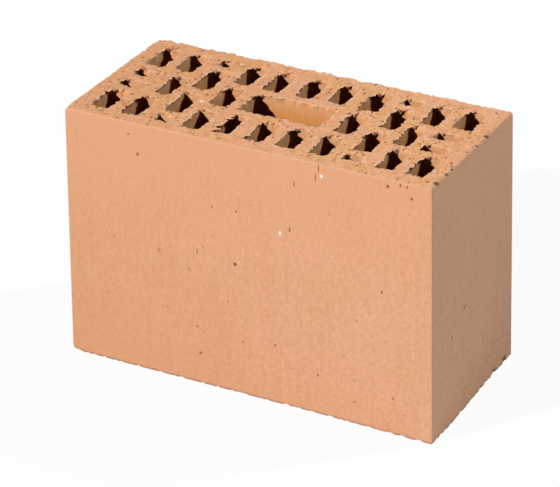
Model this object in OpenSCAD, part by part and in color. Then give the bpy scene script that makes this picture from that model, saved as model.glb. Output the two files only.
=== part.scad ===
// Vertically perforated clay brick, extruded through a die, cut to height by a wire and fired in one piece.
// It stands as it is laid: cells upright, length along X, width along Y, origin at the centre of its bed face.

/* [Brick] */
// Length of the brick, along the wall
brick_length = 290; // [240:1:340]
// Width of the brick, across the wall
brick_width = 134; // [110:1:170]
// Height between the two wire-cut bed faces
brick_height = 199; // [50:1:250]
// Radius that the die leaves on the four upright edges
edge_radius = 2; // [0.5:0.5:6]

/* [Shells and webs] */
// Thickness of the shell at each end
end_shell = 12.8; // [8:0.1:18]
// Thickness of the shell along each long face
face_shell = 12.4; // [8:0.1:18]
// Thickness of the webs between columns of cells
column_web = 9.5; // [6:0.1:12]
// Thickness of the webs between rows of cells
row_web = 9; // [6:0.1:13]
// Thickness of the web that parts the two flat cells at each end
pair_web = 10.4; // [6:0.1:16]
// Thickness of the thin web beside each staggered column
thin_web = 7; // [5:0.1:10]

/* [Cells] */
// Columns of cells along the length
columns = 11; // [9:2:13]
// Columns that the grip hole spans
grip_columns = 3; // [1:2:3]
// Column, counted from each end, whose cells are staggered against the rows
staggered_column = 3; // [3:1:4]
// Length of the two flat cells at each end of the middle row
flat_cell_length = 20.5; // [14:0.1:25]
// Depth of the short cells at both ends of a staggered column
short_cell_depth = 9; // [5:0.1:14]
// Radius in the corners of the cells
cell_radius = 1.5; // [0.5:0.1:2.5]

/* [Hidden] */
// Segments of a full circle
$fn = 48;
// Rows of cells across the width: front, middle and back
rows = 3;
// The die's cores are ground to this step, and the shells take up the rest
core_step = 0.1;
// How far the cutters stand out past both bed faces
overcut = 1;

// Full cells share the room that shells and webs leave
cell_length = to_core_step((brick_length - 2 * end_shell - (columns - 1) * column_web) / columns);
cell_depth = to_core_step((brick_width - 2 * face_shell - (rows - 1) * row_web) / rows);
column_pitch = cell_length + column_web;
row_pitch = cell_depth + row_web;
middle_column = (columns + 1) / 2;

// Where the outer sides of the first column and of the face rows lie, from the middle
cells_end = (columns * column_pitch - column_web) / 2;
cells_face = (rows * row_pitch - row_web) / 2;

// Cells of their own shape
grip_length = grip_columns * column_pitch - column_web;
staggered_depth = cells_face - short_cell_depth - 1.5 * row_web;
flat_cell_depth = (cell_depth - pair_web) / 2;
inner_cell_length = (staggered_column - 1) * column_pitch - thin_web - flat_cell_length - column_web;

// A size rounded to the step of the die's cores
function to_core_step(size) = round(size / core_step) * core_step;

// Position along X of a column's centre, counted from 1 at the left end
function column_x(column) = (column - middle_column) * column_pitch;

// True for a column whose cells are staggered, seen from either end
function is_staggered(column) = min(column, columns + 1 - column) == staggered_column;

// True for a column whose middle cell the grip hole takes in
function is_gripped(column) = abs(column - middle_column) < grip_columns / 2;

// Rectangle about the origin with round corners
module rounded_rectangle(length, depth, radius) {
    square([length - 2 * radius, depth], center = true);
    square([length, depth - 2 * radius], center = true);
    for (x = [-1, 1], y = [-1, 1])
        translate([x * (length / 2 - radius), y * (depth / 2 - radius)])
            circle(radius);
}

// One cell's section, centred on a point of the plan
module cell(x, y, length, depth) {
    translate([x, y])
        rounded_rectangle(length, depth, cell_radius);
}

// Front and back rows: full cells along both faces, except in the staggered columns
module face_rows() {
    for (column = [1:columns], side = [-1, 1])
        if (!is_staggered(column))
            cell(column_x(column), side * row_pitch, cell_length, cell_depth);
}

// Staggered columns: a short cell behind each face shell and two deep ones between
module staggered_columns() {
    short_y = cells_face - short_cell_depth / 2;
    staggered_y = (row_web + staggered_depth) / 2;
    for (column = [1:columns], side = [-1, 1])
        if (is_staggered(column)) {
            cell(column_x(column), side * short_y, cell_length, short_cell_depth);
            cell(column_x(column), side * staggered_y, cell_length, staggered_depth);
        }
}

// Middle row between the staggered columns: full cells on both sides of the grip hole
module middle_row() {
    for (column = [staggered_column + 1:columns - staggered_column])
        if (!is_gripped(column))
            cell(column_x(column), 0, cell_length, cell_depth);
    cell(0, 0, grip_length, cell_depth);
}

// Ends of the middle row: two flat cells behind the end shell, then one upright cell
module end_cells() {
    flat_x = cells_end - flat_cell_length / 2;
    flat_y = (pair_web + flat_cell_depth) / 2;
    inner_x = cells_end - flat_cell_length - column_web - inner_cell_length / 2;
    for (end = [-1, 1]) {
        for (side = [-1, 1])
            cell(end * flat_x, side * flat_y, flat_cell_length, flat_cell_depth);
        cell(end * inner_x, 0, inner_cell_length, cell_depth);
    }
}

// The brick: the die's outline drawn up to height, with every cell open from bed to bed
module brick() {
    color("#E3A67C")
        difference() {
            linear_extrude(brick_height)
                rounded_rectangle(brick_length, brick_width, edge_radius);
            translate([0, 0, -overcut])
                linear_extrude(brick_height + 2 * overcut) {
                    face_rows();
                    staggered_columns();
                    middle_row();
                    end_cells();
                }
        }
}

brick();
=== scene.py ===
# %% [markdown]
# # A perforated clay brick
# The brick is one piece of fired clay. Soft clay was pressed through a die with a core for each cell, a
# wire cut the long column into bricks, and the kiln fired them. So it has three kinds of surface: sides
# that the die smoothed, two beds that the wire tore, and the walls of the cells. This lesson rebuilds all
# three from arrays.

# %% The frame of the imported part
import bpy
import numpy as np
from mathutils import Matrix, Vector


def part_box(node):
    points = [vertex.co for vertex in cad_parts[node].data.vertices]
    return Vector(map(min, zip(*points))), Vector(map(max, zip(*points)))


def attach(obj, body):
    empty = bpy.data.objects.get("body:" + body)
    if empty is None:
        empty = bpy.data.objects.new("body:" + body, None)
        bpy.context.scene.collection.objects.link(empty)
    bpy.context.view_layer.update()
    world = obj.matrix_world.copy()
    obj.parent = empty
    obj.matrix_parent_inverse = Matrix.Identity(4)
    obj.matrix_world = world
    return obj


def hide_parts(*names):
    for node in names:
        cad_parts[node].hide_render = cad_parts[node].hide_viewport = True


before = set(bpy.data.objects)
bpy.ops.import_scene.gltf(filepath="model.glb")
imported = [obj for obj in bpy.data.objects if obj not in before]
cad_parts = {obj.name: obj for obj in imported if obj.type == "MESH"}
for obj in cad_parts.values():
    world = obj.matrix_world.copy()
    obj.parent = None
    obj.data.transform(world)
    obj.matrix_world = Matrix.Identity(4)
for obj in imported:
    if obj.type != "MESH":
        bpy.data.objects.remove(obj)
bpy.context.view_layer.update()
MM = 0.001
low_corner, high_corner = (np.round(np.array(corner) / MM, 3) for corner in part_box("brick"))
length, width, height = high_corner - low_corner
print(f"brick: {length:.1f} x {width:.1f} x {height:.1f} mm")

# %% [markdown]
# ## The plan of the cells
# A die is drawn as a plan, and so is this brick. The overall size comes from the frame, the shells and
# webs are written here in millimetres, and every cell follows from them. One row of the array holds a
# cell's middle and its half sizes, so that later steps can treat all cells at once.

# %% Cells as rows of an array
end_shell = 12.8
face_shell = 12.4
column_web = 9.5
row_web = 9.0
pair_web = 10.4
thin_web = 7.0
flat_cell_length = 20.5
short_cell_depth = 9.0
cell_radius = 2.5
edge_radius = 0.4
columns, rows, grip_columns, staggered_column = 11, 3, 3, 3

cell_length = (length - 2 * end_shell - (columns - 1) * column_web) / columns
cell_depth = (width - 2 * face_shell - (rows - 1) * row_web) / rows
column_pitch = cell_length + column_web
row_pitch = cell_depth + row_web
cells_end = length / 2 - end_shell
cells_face = width / 2 - face_shell
grip_length = grip_columns * column_pitch - column_web
staggered_depth = cells_face - short_cell_depth - 1.5 * row_web
flat_cell_depth = (cell_depth - pair_web) / 2
inner_cell_length = (staggered_column - 1) * column_pitch - thin_web - flat_cell_length - column_web

column = np.arange(1, columns + 1)
column_x = (column - (columns + 1) / 2) * column_pitch
from_end = np.minimum(column, columns + 1 - column)
from_middle = np.abs(column - (columns + 1) / 2)
is_staggered = from_end == staggered_column
is_middle_cell = (from_end > staggered_column) & (from_middle > grip_columns / 2)
SIDES = np.array([-1.0, 1.0])


def cells_at(xs, ys, size_x, size_y):
    """Rows of (middle x, middle y, half length, half depth): every x is paired with every y."""
    x, y = (grid.ravel() for grid in np.meshgrid(xs, ys))
    return np.column_stack([x, y, np.full(x.size, size_x / 2), np.full(x.size, size_y / 2)])


short_cell_y = cells_face - short_cell_depth / 2
inner_cell_x = cells_end - flat_cell_length - column_web - inner_cell_length / 2
cells = np.concatenate([
    cells_at(column_x[~is_staggered], SIDES * row_pitch, cell_length, cell_depth),
    cells_at(column_x[is_staggered], SIDES * short_cell_y, cell_length, short_cell_depth),
    cells_at(column_x[is_staggered], SIDES * (row_web + staggered_depth) / 2, cell_length, staggered_depth),
    cells_at(column_x[is_middle_cell], [0.0], cell_length, cell_depth),
    cells_at([0.0], [0.0], grip_length, cell_depth),
    cells_at(SIDES * (cells_end - flat_cell_length / 2), SIDES * (pair_web + flat_cell_depth) / 2,
             flat_cell_length, flat_cell_depth),
    cells_at(SIDES * inner_cell_x, [0.0], inner_cell_length, cell_depth),
])
print(f"{len(cells)} cells, full ones {cell_length:.1f} x {cell_depth:.1f} mm")
print(f"grip hole {grip_length:.1f} mm long")

# %% [markdown]
# ## A grid with holes
# A bed is a flat face with many holes. Cutting it with booleans would leave long thin triangles, which
# take relief badly. Instead a grid of lines runs through every cell's sides, the squares inside the cells
# are left out, and what remains is a mesh of small even squares whose open edges lie exactly on the
# cells.

# %% Grid lines and the squares that stay
grid_step = 1.05


def lines_through(edges, step):
    """Positions of grid lines: all edges, and equal steps of at most the given size between
    neighbours."""
    edges = np.unique(np.round(edges, 4))
    counts = np.ceil(np.diff(edges) / step).astype(int)
    runs = [np.linspace(a, b, n, endpoint=False) for a, b, n in zip(edges[:-1], edges[1:], counts)]
    return np.append(np.concatenate(runs), edges[-1])


half = np.array([length, width]) / 2
x_edges = np.concatenate([[-half[0], half[0]], cells[:, 0] - cells[:, 2], cells[:, 0] + cells[:, 2]])
y_edges = np.concatenate([[-half[1], half[1]], cells[:, 1] - cells[:, 3], cells[:, 1] + cells[:, 3]])
x_lines = lines_through(x_edges, grid_step)
y_lines = lines_through(y_edges, grid_step)

x_mid = (x_lines[:-1] + x_lines[1:]) / 2
y_mid = (y_lines[:-1] + y_lines[1:]) / 2
in_column = np.abs(x_mid[:, None] - cells[:, 0]) < cells[:, 2]
in_row = np.abs(y_mid[:, None] - cells[:, 1]) < cells[:, 3]
kept = ~(in_column[:, None, :] & in_row[None, :, :]).any(axis=2)
print(f"grid of {len(x_lines)} x {len(y_lines)} lines, {kept.sum()} squares stay")

# %% Numbered points, squares and open edges
padded_kept = np.pad(kept, 1)
used = padded_kept[:-1, :-1] | padded_kept[1:, :-1] | padded_kept[:-1, 1:] | padded_kept[1:, 1:]
number = np.full(used.shape, -1)
number[used] = np.arange(used.sum())
south_west, south_east = number[:-1, :-1], number[1:, :-1]
north_east, north_west = number[1:, 1:], number[:-1, 1:]
bed_quads = np.stack([south_west[kept], south_east[kept], north_east[kept], north_west[kept]], axis=1)

# An open edge belongs to one square that stays. It runs with that square on its left.
open_south = kept & ~padded_kept[1:-1, :-2]
open_east = kept & ~padded_kept[2:, 1:-1]
open_north = kept & ~padded_kept[1:-1, 2:]
open_west = kept & ~padded_kept[:-2, 1:-1]
open_edges = np.concatenate([
    np.stack([south_west[open_south], south_east[open_south]], axis=1),
    np.stack([south_east[open_east], north_east[open_east]], axis=1),
    np.stack([north_east[open_north], north_west[open_north]], axis=1),
    np.stack([north_west[open_west], south_west[open_west]], axis=1),
])
plan = np.stack(np.meshgrid(x_lines, y_lines, indexing="ij"), axis=2)[used]
on_rim = np.zeros(len(plan), bool)
on_rim[open_edges.ravel()] = True
on_outside = (np.abs(plan) > half - 1e-6).any(axis=1)
print(f"{len(plan)} points on a bed, {on_rim.sum()} of them on open edges")

# %% [markdown]
# ## Distances that shape the edges
# Everything that happens near an edge, such as a rounded corner, a torn rim or a chip, fades with the
# distance from that edge. A rounded rectangle has a simple distance formula, and its slope gives the
# direction to push in.

# %% Distance to rounded rectangles


def rectangle_distance(points, middle, half_size, radius):
    """Distance to a rounded rectangle, and its outward direction. The point is folded into one quarter
    and measured from the middle of that quarter's corner circle: past both sides it is the length of that
    offset less the radius, and elsewhere the larger part of the offset less the radius. A narrow
    rectangle has a smaller radius."""
    offset = points - middle
    radius = np.minimum(radius, half_size.min(axis=-1))
    quarter = np.abs(offset) - (half_size - radius[..., None])
    past = np.maximum(quarter, 0.0)
    reach = np.linalg.norm(past, axis=-1)
    distance = reach + np.minimum(quarter.max(axis=-1), 0.0) - radius
    axis = np.eye(2)[quarter.argmax(axis=-1)]
    in_corner = (past > 0).all(axis=-1)
    round_way = past / np.maximum(reach, 1e-9)[..., None]
    outward = np.where(in_corner[..., None], round_way, axis) * np.where(offset < 0, -1.0, 1.0)
    return distance, outward


cell_gap, cell_outward = rectangle_distance(plan[:, None, :], cells[:, :2], cells[:, 2:], cell_radius)
side_gap, side_outward = rectangle_distance(plan, np.zeros(2), half, edge_radius)
cell_rows = np.arange(len(plan))
nearest_cell = cell_gap.argmin(axis=1)
rim_gap = cell_gap[cell_rows, nearest_cell]
rim_outward = cell_outward[cell_rows, nearest_cell]

# Points of the open edges move onto the rounded outlines.
on_cell_rim = on_rim & ~on_outside
die_plan = plan.copy()
die_plan[on_cell_rim] -= (rim_gap[:, None] * rim_outward)[on_cell_rim]
die_plan[on_outside] -= (side_gap[:, None] * side_outward)[on_outside]
print(f"corners moved by up to {np.abs(die_plan - plan).max():.2f} mm")

# %% [markdown]
# ## Cores that stand a little off
# A die's cores hang on thin arms, and the clay bends them. So single cells of a real brick sit a
# millimetre or two off their place. Here a few cells are named by the place where they should be, with
# the way they have moved. The clay beside a cell moves with it, and less with distance, so that the grid
# stays whole.

# %% Cells off their place
off_fade = 3.0
off_cells = np.array([
    # x and y of the cell's place, then how far it has moved
    [-2 * column_pitch, row_pitch, -2.6, 0.6],
    [-1 * column_pitch, row_pitch, -2.6, -1.0],
    [0 * column_pitch, row_pitch, -1.3, -0.5],
    [1 * column_pitch, row_pitch, -1.3, 1.0],
    [-4 * column_pitch, row_pitch, -1.4, 1.0],
    [4 * column_pitch, row_pitch, -1.4, -2.0],
    [5 * column_pitch, row_pitch, -1.2, 2.0],
    [-2 * column_pitch, -row_pitch, 0.3, -2.6],
    [-1 * column_pitch, -row_pitch, -2.2, 0.5],
    [4 * column_pitch, -row_pitch, 1.6, 0.8],
    [5 * column_pitch, -row_pitch, 0.6, 1.6],
    [-3 * column_pitch, -staggered_depth / 2, 1.2, -2.0],
    [3 * column_pitch, -cells_face, 1.6, 1.8],
    [-3 * column_pitch, -cells_face, 2.2, -0.4],
    [cells_end, -flat_cell_depth, -2.6, -1.0],
])
moved_cell = np.linalg.norm(cells[:, None, :2] - off_cells[:, :2], axis=2).argmin(axis=0)
cell_move = np.zeros((len(cells), 2))
cell_move[moved_cell] = off_cells[:, 2:]
nearness = np.exp(-np.maximum(cell_gap, 0.0) / off_fade)
nearness /= np.maximum(nearness.sum(axis=1, keepdims=True), 1.0)
die_plan += nearness @ cell_move * (1 - np.exp(side_gap / off_fade))[:, None]
print(f"{len(off_cells)} cells moved by up to {np.linalg.norm(cell_move, axis=1).max():.1f} mm")

# %% [markdown]
# ## Noise for torn clay
# Clay tears in no regular pattern, yet the same brick has to come out on every run. Seeded random heights
# on a lattice, blended smoothly, give such a surface. Stretched along the wire's path, the same noise
# makes drag marks.

# %% Lattice noise and drag marks
drag_angle = np.radians(28.0)
lattice_size = 256


def lattice_noise(u, v, size_u, size_v, seed):
    """Smooth noise from -1 to 1: random heights at whole multiples of the two sizes, which are
    millimetres, blended by 3t^2 - 2t^3 in both directions."""
    heights = np.random.default_rng(seed).uniform(-1.0, 1.0, (lattice_size, lattice_size))
    u, v = u / size_u, v / size_v
    i, j = np.floor(u).astype(int), np.floor(v).astype(int)
    s, t = u - i, v - j
    s, t = s * s * (3 - 2 * s), t * t * (3 - 2 * t)
    i, j = i % lattice_size, j % lattice_size
    i_next, j_next = (i + 1) % lattice_size, (j + 1) % lattice_size
    near = heights[i, j] * (1 - s) + heights[i_next, j] * s
    far = heights[i, j_next] * (1 - s) + heights[i_next, j_next] * s
    return near * (1 - t) + far * t


def plan_noise(points, size, seed):
    """Lattice noise over a plan, of the same size in both directions."""
    return lattice_noise(points[:, 0], points[:, 1], size, size, seed)


def along_drag(points):
    """Coordinates across and along the wire's path, which runs from front to back and a little to the
    right."""
    across = points[:, 0] * np.cos(drag_angle) - points[:, 1] * np.sin(drag_angle)
    along = points[:, 0] * np.sin(drag_angle) + points[:, 1] * np.cos(drag_angle)
    return across, along


# %% [markdown]
# ## The wire-cut beds
# The wire drags through clay with grit and fibres in it. It leaves long shallow marks, pulls small pits
# open, nicks the rims of the cells and leaves crumbs beside them. Behind most cells, next to the left
# wall, it tears a short groove. It also smears clay over the rims, in strands at the left and as webs
# across the back left corners. Sculpting all this by hand would take hours, and bump alone would leave
# the rims straight. So each effect is a height or a push added to the flat bed, with its size in
# millimetres.

# %% Places for nicks, crumbs and grooves
SIDE_NORMALS = np.array([[-1.0, 0.0], [0.0, 1.0], [1.0, 0.0], [0.0, -1.0]])
side_chances = [0.34, 0.30, 0.16, 0.20]


def rim_places(rng, count):
    """Random places on the cells' rims, most on left and back sides, and the way out of the cell at
    each."""
    cell = cells[rng.integers(0, len(cells), count)]
    normal = SIDE_NORMALS[rng.choice(4, count, p=side_chances)]
    along = np.abs(normal[:, ::-1]) * rng.uniform(-1.0, 1.0, (count, 1))
    return cell[:, :2] + cell[:, 2:] * (normal + along), normal


def bells(points, middles, radii):
    """One column per middle: a bell that is 1 at the middle and falls as exp(-(distance / radius)^2)."""
    gap = ((points[:, None, :] - middles[None]) ** 2).sum(axis=2)
    return np.exp(-gap / radii ** 2)


# %% Grooves behind the cells
groove_length, groove_width, groove_depth = (2.0, 10.0), (0.7, 1.1), (1.0, 2.8)
groove_turn = (40.0, 75.0)
groove_inset = [2.6, 0.2]


def grooves(points, rng):
    """Depth of the grooves behind the cells: a line from each back left corner, deep at the cell and then
    fading."""
    count = len(cells)
    start = cells[:, :2] + cells[:, 2:] * [-1.0, 1.0] + groove_inset
    turn = np.radians(rng.uniform(*groove_turn, count))
    way = np.column_stack([np.sin(turn), np.cos(turn)])
    reach, wide = rng.uniform(*groove_length, count), rng.uniform(*groove_width, count)
    deep = rng.uniform(*groove_depth, count)
    offset = points[:, None, :] - start
    share = np.clip((offset * way).sum(axis=2) / reach, 0.0, 1.0)
    gap = np.linalg.norm(offset - (share * reach)[..., None] * way, axis=2)
    return (deep * (1 - share) * np.exp(-(gap / wide) ** 2)).max(axis=1)


# %% Heights of a torn bed
drag_height = 0.18
grit_height = 0.30
# Sizes across and along the wire's path
wide_mark, fine_mark, grit_size = (7.0, 38.0), (2.6, 15.0), (1.3, 2.2)
lump_size = 3.9
pit_count, pit_radius, pit_depth, pit_scatter = 170, (0.6, 1.5), (0.2, 1.2), 2.5
crumb_count, crumb_radius, crumb_height, crumb_gap = 420, (0.55, 1.1), (0.15, 0.75), (0.4, 4.0)
rim_drop, rim_fade, rim_wave = 0.35, 0.9, 2.0


def torn_height(points, seed):
    """Height over the flat bed, and the hollows in it: drag marks, grit and crumbs, less the hollows,
    which are pits and grooves, and less a drop at the cells' rims."""
    rng = np.random.default_rng(seed)
    across, along = along_drag(points)
    marks = lattice_noise(across, along, *wide_mark, seed)
    marks += 0.6 * lattice_noise(across, along, *fine_mark, seed + 1)
    grit = lattice_noise(across, along, *grit_size, seed + 2)
    grit += 0.6 * plan_noise(points, lump_size, seed + 3)
    pit_places, away = rim_places(rng, pit_count)
    pit_places += away * rng.exponential(pit_scatter, (pit_count, 1))
    pits = rng.uniform(*pit_depth, pit_count) * bells(points, pit_places, rng.uniform(*pit_radius, pit_count))
    crumb_places, away = rim_places(rng, crumb_count)
    crumb_places += away * rng.uniform(*crumb_gap, (crumb_count, 1))
    crumbs = rng.uniform(*crumb_height, crumb_count)
    crumbs = crumbs * bells(points, crumb_places, rng.uniform(*crumb_radius, crumb_count))
    rim = np.exp(-np.maximum(rim_gap, 0.0) / rim_fade)
    rim *= 1.0 + 1.2 * plan_noise(points, rim_wave, seed + 4)
    hollow = np.maximum(pits.max(axis=1), grooves(points, rng))
    return drag_height * marks + grit_height * grit + crumbs.max(axis=1) - hollow - rim_drop * rim, hollow


# %% Torn rims
tear_fade = 1.8
fine_tear, fine_tear_size = 0.75, 1.4
wide_tear, wide_tear_size = 0.45, 5.0
nick_count, nick_radius, nick_depth = 420, (0.7, 1.6), (0.3, 2.0)


def torn_plan(points, seed):
    """Plan of a bed: the cells' rims pushed in and out by noise, and pushed back where they are
    nicked."""
    rng = np.random.default_rng(seed)
    ragged = fine_tear * plan_noise(points, fine_tear_size, seed)
    ragged += wide_tear * plan_noise(points, wide_tear_size, seed + 1)
    fade = np.exp(-np.maximum(cell_gap, 0.0) / tear_fade)
    push = (cell_outward * fade[:, :, None]).sum(axis=1) * ragged[:, None]
    places, away = rim_places(rng, nick_count)
    nicks = bells(points, places, rng.uniform(*nick_radius, nick_count))
    push += (nicks * rng.uniform(*nick_depth, nick_count)) @ away
    return points + push


# %% Clay smeared over the cells
smear_reach, smear_fade = 4.6, 2.0
clogged_reach = 5.0
strand_spacing, strand_length = 2.2, 9.0
strand_depth, clogged_strand_depth = 0.2, 0.6
clogged_cell = np.argmin(np.linalg.norm(cells[:, :2] - [-column_pitch, -row_pitch], axis=1))


def smeared_plan(points, seed):
    """Push of clay that the wire smeared into the cells: each cell's left rim moves in by the cell's own
    reach, most at the front, in strands whose lengths come from noise along the rim. One cell is nearly
    clogged."""
    rng = np.random.default_rng(seed)
    reach = smear_reach * rng.uniform(0.0, 1.0, len(cells)) ** 1.2
    reach[clogged_cell] = clogged_reach
    front_share = np.clip(0.7 - 0.7 * (points[:, None, 1] - cells[:, 1]) / cells[:, 3], 0.0, 1.0)
    front_share[:, clogged_cell] = 1.0
    strand_share = np.full(len(cells), strand_depth)
    strand_share[clogged_cell] = clogged_strand_depth
    left_share = np.clip(-cell_outward[:, :, 0], 0.0, 1.0)
    fade = np.exp(-np.maximum(cell_gap, 0.0) / smear_fade)
    x, y = points.T
    wide = 0.7 + 0.3 * lattice_noise(y, x, 2 * strand_spacing, strand_length, seed + 1)
    fine = lattice_noise(y, x, strand_spacing / 2, strand_length, seed + 2)
    strands = np.maximum(wide[:, None] + strand_share * fine[:, None], 0.0)
    push = (reach * front_share * left_share * fade * strands).max(axis=1)
    return np.column_stack([push, 0.3 * push])


# %% Webs of clay in the corners
web_reach = (3.5, 9.0)
web_fade = 1.5


def corner_webs(points, seed):
    """Push of the webs of clay that the wire leaves in the cells' back left corners. A rim point whose
    distances from the corner, along both rims, add up to less than the web's reach moves to the straight
    line across the corner."""
    rng = np.random.default_rng(seed)
    reach = np.minimum(rng.uniform(*web_reach, len(cells)), cells[:, 2:].min(axis=1))
    offset = points[:, None, :] - (cells[:, :2] + cells[:, 2:] * [-1.0, 1.0])
    along_rims = np.maximum(offset[..., 0], 0.0) + np.maximum(-offset[..., 1], 0.0)
    fade = np.exp(-np.maximum(cell_gap, 0.0) / web_fade)
    push = (np.maximum(reach - along_rims, 0.0) / 2 * fade).max(axis=1)
    return np.column_stack([push, -push])


# %% [markdown]
# ## Edges that were cut, dried and handled
# The outer edges of a bed are never quite straight. The wire tears the lower edge ragged and leaves a
# burr on the back one, and handling rounds the edges and chips them. While the clay is soft the brick
# stands on its foot, which spreads a little under the weight, most near the right front corner. A bevel
# would treat all edges alike, so noise and single bells give each stretch its own wear instead.

# %% Wear of the upper and lower edges
bed_edge_fade = 3.0
crumble_fine, crumble_wide = 1.9, 6.0
top_least_wear, low_least_wear = 0.35, 0.3


def crumble(points, seed):
    """Uneven wear from 0 to about 1.5: the size of the sum of a fine and a wide noise."""
    fine = plan_noise(points, crumble_fine, seed)
    return np.abs(fine + 0.7 * plan_noise(points, crumble_wide, seed + 1))


def single_bells(points, bell_rows):
    """The largest of single bells, each a row of x, y, radius and size at the middle."""
    return (bells(points, bell_rows[:, :2], bell_rows[:, 2]) * bell_rows[:, 3]).max(axis=1)


back_share = np.clip(plan[:, 1] / half[1], 0.0, 1.0) ** 2
end_share = np.clip(np.abs(plan[:, 0]) / half[0], 0.0, 1.0) ** 12
top_wear = top_least_wear + crumble(plan, seed=40) * (0.3 + 0.7 * back_share + 0.8 * end_share)
low_wear = low_least_wear + crumble(plan, seed=50) * (0.3 + 0.4 * end_share)

# %% Chips, burr and spread foot
# Chips are rows of x, y, radius and depth
left_corner_chips = np.array([[-half[0], half[1], 3.5, 1.6], [-half[0], -half[1], 4.0, 1.8]])
end_chip_y = np.array([24.0, 7.5, -34.0, -42.0, -57.0])
end_chip_radius = np.array([2.2, 1.6, 1.3, 1.7, 2.6])
end_chip_x = np.full(end_chip_y.size, half[0])
end_chips = np.column_stack([end_chip_x, end_chip_y, end_chip_radius, end_chip_radius])
foot_chips = np.array([
    [-half[0], -half[1], 5.0, 3.2],
    [half[0], 38.0, 3.4, 3.0],
    [half[0], 57.0, 2.6, 2.2],
    [half[0], 14.0, 2.2, 1.6],
    [half[0], -22.0, 1.8, 1.2],
    [124.0, -half[1], 1.8, 1.0],
    [-78.0, -half[1], 1.6, 1.0],
    [-14.0, -half[1], 1.8, 1.0],
])
top_wear += single_bells(plan, left_corner_chips)
top_wear += single_bells(plan, end_chips)
low_wear += single_bells(plan, foot_chips)

foot_flare = 2.4
right_flare = np.array([[half[0], -45.0, 50.0, 2.0]])
flare = foot_flare + single_bells(plan, right_flare)
flare_way = np.sign(plan) * np.exp((np.abs(plan) - half) / bed_edge_fade)

burr_height, burr_size, burr_fade = 1.0, 4.5, 2.0
burr_share = np.clip(0.3 + plan_noise(plan, burr_size, seed=55), 0.0, 1.0)
back_burr = burr_height * burr_share * np.exp((plan[:, 1] - half[1]) / burr_fade)
print(f"top edge worn by up to {top_wear[on_outside].max():.1f} mm")
print(f"lower edge worn by up to {low_wear[on_outside].max():.1f} mm, foot spread by {flare.max():.1f} mm")

# %% [markdown]
# ## Walls between the beds
# Both beds use the same grid, so each point of an open edge on the top has its partner on the bottom. A
# wall is then a curtain: the edge's points carried down in steps, close together near the beds, where the
# edge is round or torn, and far apart between, where the die left the clay straight.

# %% Beds in space
edge_drop, edge_drop_fade = 0.3, 1.5
low_bed_rise = 0.3
foot_rag_height, foot_rag_size = 1.0, 2.4
push_in = np.exp(-np.maximum(-side_gap, 0.0) / bed_edge_fade)[:, None] * side_outward
top_plan = torn_plan(die_plan, seed=60) + smeared_plan(die_plan, seed=90) + corner_webs(die_plan, seed=95)
top_plan -= push_in * top_wear[:, None]
low_plan = torn_plan(die_plan, seed=70) - push_in * low_wear[:, None] + flare_way * flare[:, None]
top_relief, top_hollow = torn_height(plan, seed=10)
low_relief, low_hollow = torn_height(plan, seed=20)
edge_share = np.exp(-np.maximum(-side_gap, 0.0) / edge_drop_fade)
top_z = height + top_relief + back_burr - edge_drop * edge_share * (top_wear - top_wear.min())
foot_rag = np.clip(0.15 + plan_noise(plan, foot_rag_size, seed=56), 0.0, 1.0)
foot_rag *= 1.0 + 0.7 * end_share
low_z = np.maximum(low_bed_rise - low_relief, 0.0) * (1 - edge_share)
low_z += foot_rag_height * foot_rag * edge_share
top_bed = np.column_stack([top_plan, top_z])
low_bed = np.column_stack([low_plan, low_z])
print(f"top bed from {top_z.min() - height:+.2f} to {top_z.max() - height:+.2f} mm about its plane")

# %% Curtains of points below the open edges
outer_depths = np.array([0.3, 0.7, 1.3, 2.2, 4.0, 9.0])
inner_depths = np.array([0.7, 1.7, 3.5, 8.0])
outer_middle_steps = 4
inner_middle_steps = 2
flap_depth = 1.5
bed_shift_fade = 2.0
streak_height = 0.02
# Sizes along the wall and down it
fine_streak, wide_streak = (2.2, 90.0), (9.0, 60.0)


def curtain(rim_points, depths, middle_steps, outside):
    """Points of a wall, from the top bed's edge to the lower bed's. The wall follows the die's plan. Near
    each edge it is moved towards the bed's own edge: outside by a quarter circle of the edge's wear, in a
    cell by a curve that falls as exp(-(depth / flap depth)^1.5). Outside, the wall also leans out by the
    foot's flare, in proportion to the depth. Fine upright streaks lie over it."""
    span = height - 2 * depths[-1]
    between = depths[-1] + span * np.arange(1, middle_steps) / middle_steps
    down = np.concatenate([depths, between, height - depths[::-1]])
    straight = die_plan[rim_points][None]
    from_top = down[:, None]
    from_low = height - from_top
    if outside:
        top_radius, low_radius = top_wear[rim_points], low_wear[rim_points]
        top_share = 1 - np.sqrt(1 - np.clip(1 - from_top / top_radius, 0, 1) ** 2)
        low_share = 1 - np.sqrt(1 - np.clip(1 - from_low / low_radius, 0, 1) ** 2)
    else:
        top_share = np.exp(-(from_top / flap_depth) ** 1.5)
        low_share = np.exp(-(from_low / flap_depth) ** 1.5)
    top_move = top_plan[rim_points][None] - straight
    low_move = low_plan[rim_points][None] - straight
    place = straight + top_share[..., None] * top_move + low_share[..., None] * low_move
    outward = side_outward[rim_points] if outside else -rim_outward[rim_points]
    if outside:
        spread = flare[rim_points] * (from_top / height) * (1 - low_share)
        place = place + spread[..., None] * flare_way[rim_points]
    walk = (die_plan[rim_points] @ [1.0, 1.7])[None]
    streak = lattice_noise(walk, from_top, *fine_streak, seed=80)
    streak = streak + lattice_noise(walk, from_top, *wide_streak, seed=81)
    place = place + streak_height * streak[..., None] * outward
    z = np.broadcast_to(height - from_top, place.shape[:2])
    top_shift = (top_z[rim_points] - height)[None] * np.exp(-from_top / bed_shift_fade)
    low_shift = low_z[rim_points][None] * np.exp(-from_low / bed_shift_fade)
    return np.concatenate([place, (z + top_shift + low_shift)[..., None]], axis=2)


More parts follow.
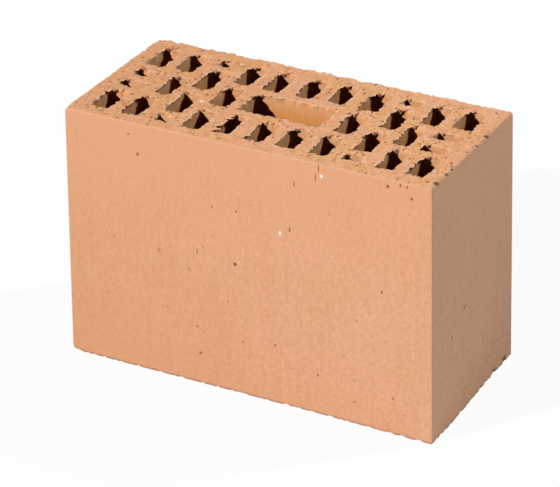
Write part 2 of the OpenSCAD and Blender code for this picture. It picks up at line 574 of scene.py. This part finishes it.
outer_points = np.flatnonzero(on_outside & on_rim)
inner_points = np.flatnonzero(on_cell_rim)
outer_wall = curtain(outer_points, outer_depths, outer_middle_steps, True)
inner_wall = curtain(inner_points, inner_depths, inner_middle_steps, False)
print(f"outer wall of {outer_wall.shape[0]} levels with {outer_wall.shape[1]} points")
print(f"cell walls of {inner_wall.shape[0]} levels with {inner_wall.shape[1]} points")

# %% [markdown]
# ## One mesh from all parts
# The beds and curtains share their edge points, so the mesh is closed without merging anything. Each
# square keeps the number of its finish: 0 for the die's sides, 1 for the torn beds and 2 for the cell
# walls. Two attributes go with the points, how near a cell's rim is and how deep a hollow is. The beds'
# colour uses them for a painted highlight along the rims, for painted shade in the hollows, and to put
# more pits near the rims.

# %% Points and squares of the whole brick
bed_size = len(plan)
points = np.concatenate([top_bed, low_bed, outer_wall.reshape(-1, 3), inner_wall.reshape(-1, 3)])


def wall_quads(rim_points, wall, first, edges):
    """Squares of a curtain: for each open edge, one square between each two levels, seen from outside."""
    place = np.full(bed_size, -1)
    place[rim_points] = np.arange(len(rim_points))
    levels, count = wall.shape[:2]
    grid = first + np.arange(levels * count).reshape(levels, count)
    ladder = np.concatenate([rim_points[None], grid, rim_points[None] + bed_size])
    here, there = place[edges[:, 0]], place[edges[:, 1]]
    corners = [ladder[:-1, there], ladder[:-1, here], ladder[1:, here], ladder[1:, there]]
    return np.stack(corners, axis=2).reshape(-1, 4)


edge_outside = on_outside[open_edges].all(axis=1)
outer_first = 2 * bed_size
inner_first = outer_first + outer_wall.shape[0] * outer_wall.shape[1]
outer_quads = wall_quads(outer_points, outer_wall, outer_first, open_edges[edge_outside])
inner_quads = wall_quads(inner_points, inner_wall, inner_first, open_edges[~edge_outside])
quads = np.concatenate([bed_quads, bed_quads[:, ::-1] + bed_size, outer_quads, inner_quads])
finish = np.repeat([1, 0, 2], [2 * len(bed_quads), len(outer_quads), len(inner_quads)])
print(f"{len(points)} points, {2 * len(quads)} triangles")

# %% The mesh and its attributes
rim_tint_fade = 3.0
# Edges that turn by more than this are shaded as sharp, which keeps the upright edges crisp.
sharp_angle = np.radians(50.0)

mesh = bpy.data.meshes.new("clay_brick")
mesh.vertices.add(len(points))
mesh.vertices.foreach_set("co", (points * MM).astype(np.float32).ravel())
mesh.loops.add(quads.size)
mesh.loops.foreach_set("vertex_index", quads.astype(np.int32).ravel())
mesh.polygons.add(len(quads))
mesh.polygons.foreach_set("loop_start", np.arange(0, quads.size, 4, dtype=np.int32))
mesh.polygons.foreach_set("material_index", finish.astype(np.int32))
mesh.polygons.foreach_set("use_smooth", np.ones(len(quads), bool))

rim_share = np.tile(np.exp(-np.maximum(rim_gap, 0.0) / rim_tint_fade), 2)
hollow_share = np.clip(np.concatenate([top_hollow, low_hollow]), 0.0, 1.0)
for name, bed_values in (("near_rim", rim_share), ("hollow", hollow_share)):
    values = np.zeros(len(points), np.float32)
    values[:2 * bed_size] = bed_values
    mesh.attributes.new(name, "FLOAT", "POINT").data.foreach_set("value", values)

mesh.update(calc_edges=True)
mesh.validate()
mesh.set_sharp_from_angle(angle=sharp_angle)
brick = bpy.data.objects.new("clay_brick", mesh)
bpy.context.scene.collection.objects.link(brick)
print(f"{brick.name}: {len(mesh.vertices)} points, {len(mesh.polygons)} squares")

# %% [markdown]
# ## Fired clay, three finishes of one body
# All faces are the same salmon-coloured earthenware, matt and unglazed. Painted pictures of a real brick
# could colour it, but they would show only what was photographed. Patterns worked out from real sizes go
# round every side. One helper adds a node, sets it and links it, and a few more build what all three
# finishes share: colour laid on in layers, scattered pits, and single marks.

# %% Colours and the node helper


def linear(hex_colour):
    """Linear colour of an sRGB hex value: small values over 12.92, others by the 2.4 power curve."""
    srgb = np.array([int(hex_colour[i:i + 2], 16) for i in (1, 3, 5)]) / 255
    curve = np.where(srgb <= 0.04045, srgb / 12.92, ((srgb + 0.055) / 1.055) ** 2.4)
    return (*curve, 1.0)


def add_node(tree, kind, inputs=None, **settings):
    """A new node of the kind, with its settings, and each input set to a value or linked to a socket.
    Inputs 0 to 4 of a Map Range node are the value, the range that it comes from and the range that it
    goes to."""
    node = tree.nodes.new(kind)
    for name, value in settings.items():
        setattr(node, name, value)
    for key, value in (inputs or {}).items():
        if isinstance(value, bpy.types.NodeSocket):
            tree.links.new(value, node.inputs[key])
        else:
            node.inputs[key].default_value = value
    return node


def start_clay(name):
    """An empty material, its tree, the object coordinates and the clay shader joined to the output.
    Unglazed earthenware scatters light widely, and its minerals have an IOR of about 1.5."""
    material = bpy.data.materials.new(name)
    material.use_nodes = True
    tree = material.node_tree
    tree.nodes.clear()
    place = add_node(tree, "ShaderNodeTexCoord").outputs["Object"]
    shader = add_node(tree, "ShaderNodeBsdfPrincipled", {"Roughness": 0.85, "IOR": 1.5})
    add_node(tree, "ShaderNodeOutputMaterial", {"Surface": shader.outputs["BSDF"]})
    return material, tree, place, shader


def per_mm(x, y=None, z=None):
    """Mapping scales that make one unit of a pattern as many millimetres long as given."""
    return (1 / (x * MM), 1 / ((y or x) * MM), 1 / ((z or x) * MM))


def layered(tree, colour, *layers):
    """Colour that shows when layers, each a share and a colour, lie over the first one in turn. A colour
    is a hex value or a socket, and a share is a number or a socket."""
    for share, over in layers:
        below, above = (linear(c) if isinstance(c, str) else c for c in (colour, over))
        mix = add_node(tree, "ShaderNodeMix", {0: share, 6: below, 7: above}, data_type="RGBA")
        colour = mix.outputs[2]
    return colour


# %% Pits and single marks
mark_depth = 8.0
mark_edge, mark_core = 1.2, 0.5


def scattered_pits(tree, place, spacing_mm, radius_mm, chance, stretch=1.0, dimensions="3D"):
    """Mask of scattered pits: one spot in each random Voronoi cell of the spacing, kept where the cell's
    own random value is below the chance, 1 inside half of its radius and 0 outside it. Noise of the
    radius's size moves the place that is looked up, so that the outlines are uneven."""
    noise = add_node(tree, "ShaderNodeTexNoise", {
        "Vector": place, "Scale": 1 / (radius_mm * MM), "Detail": 2.0})
    shake = add_node(tree, "ShaderNodeVectorMath", {0: noise.outputs["Color"], 1: (0.5, 0.5, 0.5)},
                     operation="SUBTRACT")
    shaken = add_node(tree, "ShaderNodeVectorMath", {
        0: shake.outputs[0], 1: (3 * radius_mm * MM,) * 3, 2: place}, operation="MULTIPLY_ADD")
    turned = add_node(tree, "ShaderNodeMapping", {
        "Vector": shaken.outputs[0], "Rotation": (0, 0, drag_angle),
        "Scale": per_mm(spacing_mm, spacing_mm * stretch, spacing_mm)})
    spots = add_node(tree, "ShaderNodeTexVoronoi", {"Vector": turned.outputs[0], "Scale": 1.0},
                     voronoi_dimensions=dimensions)
    random = add_node(tree, "ShaderNodeSeparateColor", {0: spots.outputs["Color"]})
    kept_spot = add_node(tree, "ShaderNodeMath", {0: random.outputs[0], 1: chance}, operation="LESS_THAN")
    size = add_node(tree, "ShaderNodeMapRange", {
        0: random.outputs[1], 3: 0.5 * radius_mm / spacing_mm, 4: radius_mm / spacing_mm})
    core = add_node(tree, "ShaderNodeMath", {0: size.outputs[0], 1: 0.5}, operation="MULTIPLY")
    depth = add_node(tree, "ShaderNodeMapRange", {
        0: spots.outputs["Distance"], 1: size.outputs[0], 2: core.outputs[0]})
    mask = add_node(tree, "ShaderNodeMath", {0: depth.outputs[0], 1: kept_spot.outputs[0]},
                    operation="MULTIPLY")
    return mask.outputs[0]


def spot_marks(tree, place, marks):
    """Mask of single marks, each given as its middle and its half sizes in millimetres. It is 1 up to
    half of the half size and falls to 0 a little outside it."""
    mask = 0.0
    for middle, half_sizes in marks:
        shift = tuple(-np.array(middle) / half_sizes)
        spot = add_node(tree, "ShaderNodeMapping", {
            "Vector": place, "Scale": per_mm(*half_sizes), "Location": shift})
        gap = add_node(tree, "ShaderNodeVectorMath", {0: spot.outputs[0]}, operation="LENGTH")
        inside = add_node(tree, "ShaderNodeMapRange", {0: gap.outputs["Value"], 1: mark_edge, 2: mark_core})
        largest = add_node(tree, "ShaderNodeMath", {0: inside.outputs[0], 1: mask}, operation="MAXIMUM")
        mask = largest.outputs[0]
    return mask


def on_front(marks):
    """Marks on the front, given as (x, z, half width, half height), as middles and half sizes."""
    return [((x, -half[1], z), (wide, mark_depth, high)) for x, z, wide, high in marks]


def on_end(marks):
    """Marks on the right end, given as (y, z, half width, half height), as middles and half sizes."""
    return [((half[0], y, z), (mark_depth, wide, high)) for y, z, wide, high in marks]


# %% [markdown]
# ## Die-smoothed sides
# The clay slid along a steel die, which burnished it. So the eye sees a smooth matt skin with a sandy
# grain, faint upright streaks along the die's travel, clouds where the kiln fired unevenly, a duller left,
# single pits, scratches and chips, and specks of lime. Painted light makes the top warmer and lighter and
# draws a paler line under the upper cut. Painted shade draws a darker line along the torn foot and colours
# the pits, scratches and chips dark. The grit is finer than half a millimetre and wouldn't show, so the
# grain is drawn 2.4 mm wide.

# %% Skin of the sides
die_clay, tree, place, shader = start_clay("fired_clay_die_smoothed")
grain_place = add_node(tree, "ShaderNodeMapping", {"Vector": place, "Scale": per_mm(2.4, 2.4, 3.4)})
grain = add_node(tree, "ShaderNodeTexNoise", {
    "Vector": grain_place.outputs[0], "Scale": 1.0, "Detail": 3.0, "Roughness": 0.75}).outputs[0]
streak_place = add_node(tree, "ShaderNodeMapping", {"Vector": place, "Scale": per_mm(2.5, 2.5, 70.0)})
streaks = add_node(tree, "ShaderNodeTexNoise", {
    "Vector": streak_place.outputs[0], "Scale": 1.0, "Detail": 2.0}).outputs[0]
clouds = add_node(tree, "ShaderNodeTexNoise", {
    "Vector": place, "Scale": 1 / (60 * MM), "Detail": 3.0}).outputs[0]
cloud_share = add_node(tree, "ShaderNodeMapRange", {0: clouds, 1: 0.35, 2: 0.65}).outputs[0]
grain_share = add_node(tree, "ShaderNodeMapRange", {0: grain, 1: 0.3, 2: 0.7}).outputs[0]
streak_share = add_node(tree, "ShaderNodeMapRange", {0: streaks, 1: 0.3, 2: 0.7, 3: 0.0, 4: 0.25}).outputs[0]
along, _, up = add_node(tree, "ShaderNodeSeparateXYZ", {0: place}).outputs
left_share = add_node(tree, "ShaderNodeMapRange", {
    0: along, 1: 40 * MM, 2: -half[0] * MM, 4: 0.32}).outputs[0]
# Painted light: the sides grow warmer and lighter towards the top.
painted_top_light = add_node(tree, "ShaderNodeMapRange", {0: up, 1: 90 * MM, 2: height * MM, 4: 0.5}).outputs[0]
# Painted highlight: a paler line just under the upper cut, where the edge catches the light.
painted_top_highlight = add_node(tree, "ShaderNodeMapRange", {
    0: up, 1: (height - 1.5) * MM, 2: (height - 0.5) * MM, 3: 0.0, 4: 0.35}).outputs[0]
# Painted shade: a darker line along the torn foot.
painted_foot_shade = add_node(tree, "ShaderNodeMapRange", {0: up, 1: 2.4 * MM, 2: 0.6 * MM, 4: 0.55}).outputs[0]
skin = layered(
    tree, layered(tree, "#D8966B", (cloud_share, "#DF9D76")),
    (0.5, layered(tree, "#CB8A60", (grain_share, "#EFAC84"))),
    (streak_share, "#E3AB82"),
    (left_share, "#D18E5A"),
    (painted_top_light, "#E29B6F"),
    (painted_top_highlight, "#EDBB97"),
    (painted_foot_shade, "#744A32"))
print(f"skin of the sides: {len(tree.nodes)} nodes")

# %% Pits, chips and lime on the sides; painted shade colours the pits and chips
# Marks on the front are x, z, half width and half height, and those on the end are y, z and the same.
front_pits = [
    (-92.7, 189.2, 0.8, 0.8), (-85.5, 174.8, 1.3, 1.3), (112.0, 193.6, 1.4, 1.3), (130.1, 188.0, 1.1, 1.1),
    (-7.8, 105.2, 1.6, 1.6), (108.3, 111.1, 1.1, 1.1), (-40.0, 46.8, 1.0, 1.0), (-37.8, 25.4, 1.4, 1.2),
    (-2.3, 43.7, 0.9, 0.8), (24.0, 47.4, 0.9, 1.1), (58.1, 31.8, 0.9, 1.3), (87.4, 17.7, 1.0, 0.8),
    (118.1, 29.1, 1.1, 1.0), (-6.2, 147.4, 0.9, 0.9), (-25.8, 146.7, 0.8, 0.8)]
front_scratches = [
    (-38.6, 108.3, 0.5, 2.6), (39.9, 179.2, 0.5, 2.4), (36.3, 142.8, 0.7, 2.0), (-70.5, 101.9, 0.5, 2.2),
    (59.2, 195.5, 0.5, 3.6), (56.6, 188.0, 0.5, 3.6), (121.5, 196.5, 0.8, 1.6), (126.5, 196.0, 0.7, 1.2)]
end_pits = [(-15.8, 82.6, 1.2, 1.5), (-36.9, 69.1, 1.2, 1.5), (-27.1, 77.9, 0.7, 0.9), (-9.1, 44.5, 0.8, 1.1)]
front_foot_chips = [(-78.0, 0.5, 1.4, 1.4), (-14.5, 0.5, 1.8, 1.3), (123.6, 0.5, 1.6, 1.3)]
end_foot_chips = [(37.5, 1.5, 5.0, 3.6), (56.5, 2.5, 3.8, 4.0), (14.0, 0.5, 3.0, 2.2), (-22.0, 0.0, 2.4, 1.6)]
end_top_chips = [(y, height, radius, radius) for y, radius in zip(end_chip_y, end_chip_radius)]
lime_specks = [(61.2, 190.1, 1.2, 1.3), (28.6, 138.5, 0.8, 2.0)]

single_pits = spot_marks(tree, place, on_front(front_pits + front_scratches) + on_end(end_pits))
small_pits = scattered_pits(tree, place, spacing_mm=9.0, radius_mm=0.9, chance=0.3)
pits = add_node(tree, "ShaderNodeMath", {0: single_pits, 1: small_pits}, operation="MAXIMUM").outputs[0]
# Painted shade: pits and scratches are coloured brown, and the chips along the foot and at the end's upper
# edge dark brown, for the shade inside them. The lime specks are the clay's own colour.
colour = layered(
    tree, skin,
    (pits, "#8A4A2C"),
    (spot_marks(tree, place, on_end(end_foot_chips) + on_front(front_foot_chips)), "#4A2A18"),
    (spot_marks(tree, place, on_end(end_top_chips)), "#6E4630"),
    (spot_marks(tree, place, on_front(lime_specks)), "#F8EFE4"))
tree.links.new(colour, shader.inputs["Base Color"])
relief = add_node(tree, "ShaderNodeMath", {0: pits, 1: -0.2, 2: grain}, operation="MULTIPLY_ADD").outputs[0]
bump = add_node(tree, "ShaderNodeBump", {"Height": relief, "Strength": 0.45, "Distance": 0.5 * MM})
tree.links.new(bump.outputs[0], shader.inputs["Normal"])
print(f"{die_clay.name}: {len(front_pits) + len(end_pits)} single pits, {len(tree.nodes)} nodes")

# %% [markdown]
# ## Wire-cut beds
# The wire tore the clay open, so the eye sees its inside: rough, a little yellower than the skin and
# blotchy, with pits, tears, chips and hollows. Painted shade colours the pits, tears and chips brown and
# the hollows brown to near black, and a painted highlight makes the rims paler. The mesh already carries
# the large relief. The finish adds what is smaller than its squares. The grit is drawn 1.6 mm wide,
# several times its real size, so that it shows.

# %% Torn clay
cut_clay, tree, place, shader = start_clay("fired_clay_wire_cut")
near_rim = add_node(tree, "ShaderNodeAttribute", attribute_name="near_rim").outputs["Fac"]
hollow_depth = add_node(tree, "ShaderNodeAttribute", attribute_name="hollow").outputs["Fac"]
grit, blots, patches = (
    add_node(tree, "ShaderNodeTexNoise", {
        "Vector": place, "Scale": 1 / (size * MM), "Detail": 2.0}).outputs[0] for size in (1.6, 5, 17))
drag_place = add_node(tree, "ShaderNodeMapping", {
    "Vector": place, "Rotation": (0, 0, drag_angle), "Scale": per_mm(1.1, 9.0, 5.0)})
drag = add_node(tree, "ShaderNodeTexNoise", {
    "Vector": drag_place.outputs[0], "Scale": 1.0, "Detail": 2.0}).outputs[0]
patch_share = add_node(tree, "ShaderNodeMapRange", {0: patches, 1: 0.38, 2: 0.62}).outputs[0]
blot_share = add_node(tree, "ShaderNodeMapRange", {0: blots, 1: 0.35, 2: 0.65}).outputs[0]
grit_share = add_node(tree, "ShaderNodeMapRange", {0: grit, 1: 0.3, 2: 0.7}).outputs[0]
along = add_node(tree, "ShaderNodeSeparateXYZ", {0: place}).outputs[0]
left_share = add_node(tree, "ShaderNodeMapRange", {
    0: along, 1: 70 * MM, 2: -half[0] * MM, 4: 0.34}).outputs[0]
# Painted highlight: the clay is paler close to the cells' rims.
painted_rim_highlight = add_node(tree, "ShaderNodeMapRange", {0: near_rim, 1: 0.6, 2: 1.0, 4: 0.5}).outputs[0]
torn_clay = layered(
    tree, layered(tree, "#F5A45B", (patch_share, "#FDB08B")),
    (0.45, layered(tree, "#E49450", (blot_share, "#FFC196"))),
    (0.35, layered(tree, "#C8814A", (grit_share, "#FFD3A8"))),
    (left_share, "#CB8A56"),
    (painted_rim_highlight, "#FFD2AE"))
print(f"torn clay: {len(tree.nodes)} nodes")

# %% Pits, tears, chips and hollows of the beds, coloured by painted shade
# Painted shade: the chips at the right end's upper edge are coloured brown for the shade in them.
chip_marks = [((half[0], y, height), (1.2 * radius, 0.9 * radius, 4.0))
              for y, radius in zip(end_chip_y, end_chip_radius)]
lime_mark = [((-62.2, -14.4, height), (2.2, 1.5, 4.0))]
pit_chance = add_node(tree, "ShaderNodeMath", {0: near_rim, 1: blot_share}, operation="MULTIPLY").outputs[0]
pit_chance = add_node(tree, "ShaderNodeMapRange", {0: pit_chance, 3: 0.08, 4: 0.55}).outputs[0]
# Painted shade: pits and tears are masks that the colour below turns brown, for the shade inside them.
pits = scattered_pits(tree, place, 4.0, 1.3, pit_chance, stretch=1.5, dimensions="2D")
painted_tear_shade = scattered_pits(tree, place, 5.0, 0.9, 0.3, stretch=2.6, dimensions="2D")
# Painted shade: hollows of the mesh turn brown, and the deepest near black, for the shade that falls in them.
painted_hollow_shade = add_node(tree, "ShaderNodeMapRange", {0: hollow_depth, 1: 0.3, 2: 0.8, 4: 0.75}).outputs[0]
deep = add_node(tree, "ShaderNodeMapRange", {0: hollow_depth, 1: 0.85, 2: 1.0}).outputs[0]
colour = layered(
    tree, torn_clay,
    (pits, "#94502A"),
    (painted_tear_shade, "#A66236"),
    (spot_marks(tree, place, chip_marks), "#A86C42"),
    (painted_hollow_shade, "#96542C"),
    (spot_marks(tree, place, lime_mark), "#FBE9DA"),
    (deep, "#30120A"))
tree.links.new(colour, shader.inputs["Base Color"])
relief = add_node(tree, "ShaderNodeMath", {0: grit, 1: drag}, operation="ADD").outputs[0]
relief = add_node(tree, "ShaderNodeMath", {0: pits, 1: -0.3, 2: relief}, operation="MULTIPLY_ADD").outputs[0]
bump = add_node(tree, "ShaderNodeBump", {"Height": relief, "Strength": 0.75, "Distance": 0.9 * MM})
tree.links.new(bump.outputs[0], shader.inputs["Normal"])
print(f"{cut_clay.name}: {len(tree.nodes)} nodes")

# %% [markdown]
# ## Cell walls
# The cores of the die smoothed these walls, so they are plain, a little deeper in colour than the sides
# and streaked downwards. Close to the beds the wire tore them too, and there they look like the beds.
# Deep inside, the cells in the photograph are nearly black, darker than clay of one plain colour would
# render. So painted shade makes the clay darker further in, and more painted shade makes the clay that
# bounced light meets darker, as if most of that light were lost between the walls.

# %% Core-smoothed cell walls
torn_band, torn_reach = 8, 3
shade_start, shade_end = 14, 32
half_height = height / 2

wall_clay, tree, place, shader = start_clay("fired_clay_cell_wall")
drag_place = add_node(tree, "ShaderNodeMapping", {"Vector": place, "Scale": per_mm(1.4, 1.4, 9.0)})
drag = add_node(tree, "ShaderNodeTexNoise", {
    "Vector": drag_place.outputs[0], "Scale": 1.0, "Detail": 3.0}).outputs[0]
blots = add_node(tree, "ShaderNodeTexNoise", {
    "Vector": place, "Scale": 1 / (5 * MM), "Detail": 2.0}).outputs[0]
blot_share = add_node(tree, "ShaderNodeMapRange", {0: blots, 1: 0.35, 2: 0.65}).outputs[0]
up = add_node(tree, "ShaderNodeSeparateXYZ", {0: place}).outputs[2]
off_middle = add_node(tree, "ShaderNodeMath", {0: up, 1: half_height * MM}, operation="SUBTRACT").outputs[0]
off_middle = add_node(tree, "ShaderNodeMath", {0: off_middle}, operation="ABSOLUTE").outputs[0]
torn_edge = add_node(tree, "ShaderNodeMath", {0: drag, 1: torn_band * MM, 2: off_middle},
                     operation="MULTIPLY_ADD").outputs[0]
torn_share = add_node(tree, "ShaderNodeMapRange", {
    0: torn_edge, 1: (half_height - torn_band) * MM, 2: (half_height + torn_reach) * MM}).outputs[0]
# Painted shade: the clay of the walls darkens further into the cell, away from both beds.
painted_deep_shade = add_node(tree, "ShaderNodeMapRange", {
    0: off_middle, 1: (half_height - shade_start) * MM, 2: (half_height - shade_end) * MM,
    3: 0.0, 4: 0.85}).outputs[0]
# Painted shade: clay that bounced light meets is much darker, so that the shaded walls stay nearly black.
painted_bounce_shade = add_node(tree, "ShaderNodeLightPath").outputs["Is Diffuse Ray"]
colour = layered(
    tree, "#E69650",
    (drag, "#F0A664"),
    (torn_share, layered(tree, "#EEA66E", (blot_share, "#F8BB90"))),
    (painted_deep_shade, "#401C10"),
    (painted_bounce_shade, "#4A180C"))
shader.inputs["Specular IOR Level"].default_value = 0.1
tree.links.new(colour, shader.inputs["Base Color"])
bump = add_node(tree, "ShaderNodeBump", {"Height": drag, "Strength": 0.4, "Distance": 0.4 * MM})
tree.links.new(bump.outputs[0], shader.inputs["Normal"])
print(f"{wall_clay.name}: {len(tree.nodes)} nodes")

# %% The brick in the frame
for clay in (die_clay, cut_clay, wall_clay):
    mesh.materials.append(clay)
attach(brick, "root")
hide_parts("brick")
print("finishes:", ", ".join(clay.name for clay in mesh.materials))

# %% [markdown]
# ## Floor, light and camera
# The photograph shows the brick cut out on white. A pale floor that looks white to the camera, and still
# catches a soft shadow, comes closest. A small key lamp stands in front on the left, so that it lights
# the front and the far walls of the cells, and a weaker one stands behind on the right, which lights the
# end and the cells' left walls.

# %% Floor and world
floor_reach = 6.0
# Share of the floor's white that glows by itself. The rest takes the shadow.
floor_glow = 0.92
ambient = 0.006

floor_mesh = bpy.data.meshes.new("floor")
floor_corners = [(x * floor_reach, y * floor_reach, 0) for x, y in ((-1, -1), (1, -1), (1, 1), (-1, 1))]
floor_mesh.from_pydata(floor_corners, [], [(0, 1, 2, 3)])
floor = bpy.data.objects.new("floor", floor_mesh)
bpy.context.scene.collection.objects.link(floor)


def seen_directly(tree):
    """Socket that is 1 for rays from the camera and for mirrored or refracted ones, and 0 for all
    others."""
    rays = add_node(tree, "ShaderNodeLightPath").outputs
    seen = rays["Is Camera Ray"]
    for kind in ("Is Glossy Ray", "Is Transmission Ray"):
        seen = add_node(tree, "ShaderNodeMath", {0: seen, 1: rays[kind]}, operation="MAXIMUM").outputs[0]
    return seen


paper = bpy.data.materials.new("white_paper_floor")
paper.use_nodes = True
tree = paper.node_tree
tree.nodes.clear()
bounce = add_node(tree, "ShaderNodeBsdfDiffuse", {"Color": linear("#D2ECFF")}).outputs[0]
white = add_node(tree, "ShaderNodeBsdfDiffuse", {"Color": linear("#FFFFFF")}).outputs[0]
glow = add_node(tree, "ShaderNodeEmission", {"Color": linear("#FFFFFF"), "Strength": 1.0}).outputs[0]
shown = add_node(tree, "ShaderNodeMixShader", {0: floor_glow, 1: white, 2: glow}).outputs[0]
mixed = add_node(tree, "ShaderNodeMixShader", {0: seen_directly(tree), 1: bounce, 2: shown}).outputs[0]
add_node(tree, "ShaderNodeOutputMaterial", {"Surface": mixed})
floor_mesh.materials.append(paper)

world = bpy.data.worlds.new("studio")
bpy.context.scene.world = world
world.use_nodes = True
tree = world.node_tree
tree.nodes.clear()
strength = add_node(tree, "ShaderNodeMapRange", {0: seen_directly(tree), 3: ambient, 4: 1.0}).outputs[0]
sky = add_node(tree, "ShaderNodeBackground", {"Color": linear("#FFFFFF"), "Strength": strength}).outputs[0]
add_node(tree, "ShaderNodeOutputWorld", {"Surface": sky})
print(f"floor {2 * floor_reach:.0f} m square, ambient light {ambient}")

# %% Lamps
lamp_distance = 8.0


def add_lamp(name, travel, power, size, hex_colour):
    """A round area lamp whose light travels in the given direction through the middle of the brick."""
    way = np.array(travel) / np.linalg.norm(travel)
    lamp = bpy.data.lights.new(name, "AREA")
    lamp.shape = "DISK"
    lamp.energy = power
    lamp.size = size
    lamp.color = linear(hex_colour)[:3]
    holder = bpy.data.objects.new(name, lamp)
    aim = np.array([0.0, 0.0, height * MM / 2])
    side = np.cross(way, [0.0, 0.0, 1.0])
    side /= np.linalg.norm(side)
    turn = np.column_stack([side, np.cross(side, way), -way])
    holder.matrix_world = Matrix.Translation(aim - lamp_distance * way) @ Matrix(turn.tolist()).to_4x4()
    bpy.context.scene.collection.objects.link(holder)
    print(f"{name}: {power:.0f} W, {size:.2f} m wide")


add_lamp("key_lamp", (0.95, 1.45, -1.0), 655.0, 0.37, "#FFFFFF")
add_lamp("fill_lamp", (-0.8, -0.75, -1.0), 370.0, 0.6, "#EDFAFF")

# %% Camera
photo_width = 560
focal_pixels = 2911.0
view_azimuth = np.radians(28.47)
view_elevation = np.radians(27.96)
view_roll = np.radians(-0.93)
view_distance = 2.164
aim_right, aim_up = -0.00852, 0.08065

backward = np.array([np.sin(view_azimuth) * np.cos(view_elevation),
                     -np.cos(view_azimuth) * np.cos(view_elevation),
                     np.sin(view_elevation)])
level = np.array([np.cos(view_azimuth), np.sin(view_azimuth), 0.0])
upright = np.cross(backward, level)
right_way = np.cos(view_roll) * level + np.sin(view_roll) * upright
up_way = np.cos(view_roll) * upright - np.sin(view_roll) * level
eye = view_distance * backward + aim_right * right_way + aim_up * up_way

camera_data = bpy.data.cameras.new("camera")
camera_data.sensor_width = 36.0
camera_data.lens = camera_data.sensor_width * focal_pixels / photo_width
camera = bpy.data.objects.new("camera", camera_data)
turn = np.column_stack([right_way, up_way, backward])
camera.matrix_world = Matrix.Translation(eye) @ Matrix(turn.tolist()).to_4x4()
bpy.context.scene.collection.objects.link(camera)
bpy.context.scene.camera = camera
bpy.context.scene.view_settings.view_transform = "Standard"
print(f"camera {camera_data.lens:.0f} mm lens at {np.round(eye, 2)} m")
